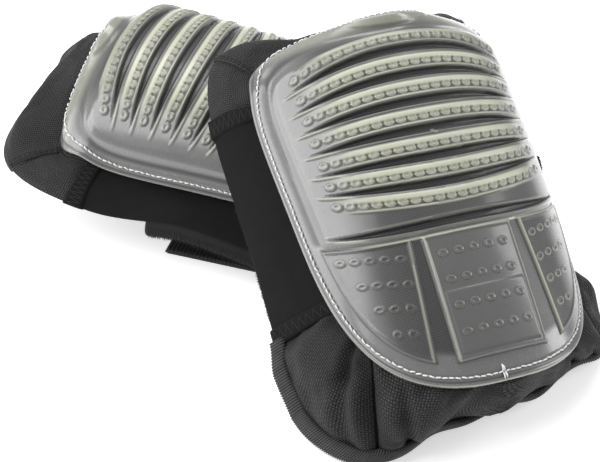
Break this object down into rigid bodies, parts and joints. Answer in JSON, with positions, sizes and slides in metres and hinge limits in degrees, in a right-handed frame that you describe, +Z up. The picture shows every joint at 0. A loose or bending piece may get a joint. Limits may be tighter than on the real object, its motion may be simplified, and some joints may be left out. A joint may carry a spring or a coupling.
{
  "type": "pair of knee pads",
  "caption": "Pair of padded knee pads with clear ribbed non-skid caps, black nylon shells, neoprene side wings and elastic straps, one lying down and one leaning over it.",
  "frame": {"origin": "on the ground, below the middle of the laid-out pair", "axes": "+Z up from the ground; -Y towards the lower end of the front pad; +X to the right across it"},
  "size_m": [0.3378, 0.3352, 0.1533],
  "materials": {
    "clear_plastic": "clear moulded, slightly frosted, grey-white highlights",
    "thread": "white twisted thread",
    "nylon": "black ballistic basket weave",
    "neoprene": "smooth black knit-faced neoprene",
    "binding": "black ribbed grosgrain tape",
    "foam": "closed-cell foam",
    "gel": "soft translucent gel",
    "lining": "brushed black lining",
    "hook_tape": "black hook tape",
    "elastic": "black woven elastic",
    "loop_tape": "black loop pile"
  },
  "bodies": {
    "rear_pad": {"rear_cap": "clear_plastic", "rear_cap_thread": "thread", "rear_front_panel": "nylon", "rear_foam_core": "foam", "rear_gel_insert": "gel", "rear_knee_lining": "lining", "rear_crown_cover": "nylon", "rear_left_side_cover": "nylon", "rear_right_side_cover": "nylon", "rear_lower_cover": "nylon", "rear_crown_binding": "binding", "rear_lower_binding": "binding"},
    "rear_left_wing": {"rear_left_wing": "neoprene", "rear_left_upper_hem": "neoprene", "rear_left_lower_hem": "neoprene", "rear_left_hook_tab": "hook_tape"},
    "rear_right_wing": {"rear_right_wing": "neoprene", "rear_right_upper_hem": "neoprene", "rear_right_lower_hem": "neoprene", "rear_right_hook_tab": "hook_tape"},
    "rear_strap": {"rear_strap": "elastic", "rear_strap_hem": "elastic", "rear_strap_loop_patch": "loop_tape"},
    "front_pad": {"front_cap": "clear_plastic", "front_cap_thread": "thread", "front_front_panel": "nylon", "front_foam_core": "foam", "front_gel_insert": "gel", "front_knee_lining": "lining", "front_crown_cover": "nylon", "front_left_side_cover": "nylon", "front_right_side_cover": "nylon", "front_lower_cover": "nylon", "front_crown_binding": "binding", "front_lower_binding": "binding"},
    "front_left_wing": {"front_left_wing": "neoprene", "front_left_upper_hem": "neoprene", "front_left_lower_hem": "neoprene", "front_left_hook_tab": "hook_tape"},
    "front_right_wing": {"front_right_wing": "neoprene", "front_right_upper_hem": "neoprene", "front_right_lower_hem": "neoprene", "front_right_hook_tab": "hook_tape"},
    "front_strap": {"front_strap": "elastic", "front_strap_hem": "elastic", "front_strap_loop_patch": "loop_tape"}
  },
  "joints": [
    {"name": "front_pad_lift", "type": "slide", "parent": "rear_pad", "child": "front_pad", "axis": [0, 0, 1], "range_m": [0, 0.2]},
    {"name": "rear_left_wing_hinge", "type": "hinge", "parent": "rear_pad", "child": "rear_left_wing", "pos_m": [-0.06146, -0.01118, 0.04521], "axis": [-0.9399, 0.3018, 0.1599], "range_deg": [0, 30]},
    {"name": "rear_right_wing_hinge", "type": "hinge", "parent": "rear_pad", "child": "rear_right_wing", "pos_m": [-0.01997, 0.12134, 0.03899], "axis": [0.9399, -0.3018, -0.1599], "range_deg": [0, 30]},
    {"name": "rear_strap_hinge", "type": "hinge", "parent": "rear_right_wing", "child": "rear_strap", "pos_m": [0.00083, 0.14106, -0.00101], "axis": [0.9399, -0.3018, -0.1599], "range_deg": [0, 100]},
    {"name": "front_left_wing_hinge", "type": "hinge", "parent": "front_pad", "child": "front_left_wing", "pos_m": [-0.00817, -0.06438, 0.07954], "axis": [-0.288, 0.8044, 0.5195], "range_deg": [0, 30]},
    {"name": "front_right_wing_hinge", "type": "hinge", "parent": "front_pad", "child": "front_right_wing", "pos_m": [0.11875, -0.00958, 0.06506], "axis": [0.288, -0.8044, -0.5195], "range_deg": [0, 30]},
    {"name": "front_strap_hinge", "type": "hinge", "parent": "front_right_wing", "child": "front_strap", "pos_m": [0.13005, -0.01674, 0.04391], "axis": [0.288, -0.8044, -0.5195], "range_deg": [-30, 0]}
  ],
  "couplings": [
    {"joint": "front_strap_hinge", "follows": "front_right_wing_hinge", "ratio": -1}
  ]
}
